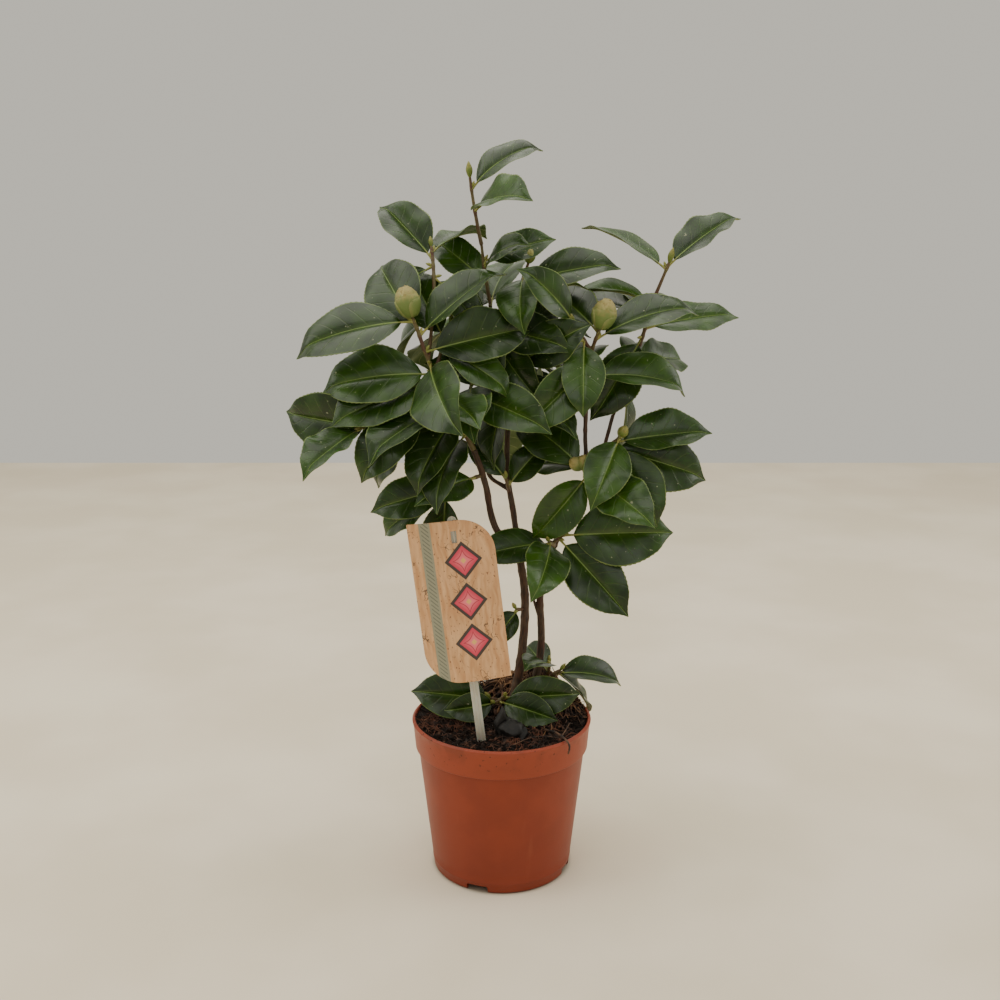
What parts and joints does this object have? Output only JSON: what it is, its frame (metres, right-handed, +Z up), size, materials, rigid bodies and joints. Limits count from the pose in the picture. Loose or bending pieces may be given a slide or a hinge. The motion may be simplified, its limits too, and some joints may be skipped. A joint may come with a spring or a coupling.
{
  "type": "potted camellia shrub",
  "caption": "Young evergreen camellia shrub with woody stems, broad glossy leaves and fat buds, growing in a round tapered nursery pot with a plant label on a stick.",
  "frame": {"origin": "centre of the pot's flat underside", "axes": "+Z up along the plant, -Y towards the front that the picture shows, +X to its right"},
  "size_m": [0.4178, 0.2499, 0.6784],
  "materials": {
    "pot_plastic": "satin, terracotta coloured, faintly scuffed and soiled",
    "compost": "rough, dark moist fibrous potting compost",
    "label_card": "satin printed card, tan wood-look ground with a plain geometric design",
    "label_stick": "smooth, milky translucent plastic",
    "bark": "matt reddish-brown bark with fine ridges",
    "foliage": "glossy dark green upper side, paler matt underside"
  },
  "bodies": {
    "root": {"pot": "pot_plastic", "compost": "compost", "label_card": "label_card", "label_stick": "label_stick", "stem_left": "bark", "stem_right": "bark", "bough_left": "bark", "bough_centre": "bark", "bough_right": "bark", "bough_right_up": "bark", "bough_right_back": "bark", "bough_back": "bark", "thin_twig": "bark", "crown_left": "foliage", "skirt_left": "foliage", "crown_top": "foliage", "crown_right": "foliage", "crown_rear": "foliage", "middle_right": "foliage", "outer_right": "foliage", "lower_right": "foliage", "base_left": "foliage", "base_right": "foliage", "stem_spur": "foliage", "fork_spur": "foliage", "crown_back": "foliage"}
  },
  "joints": []
}
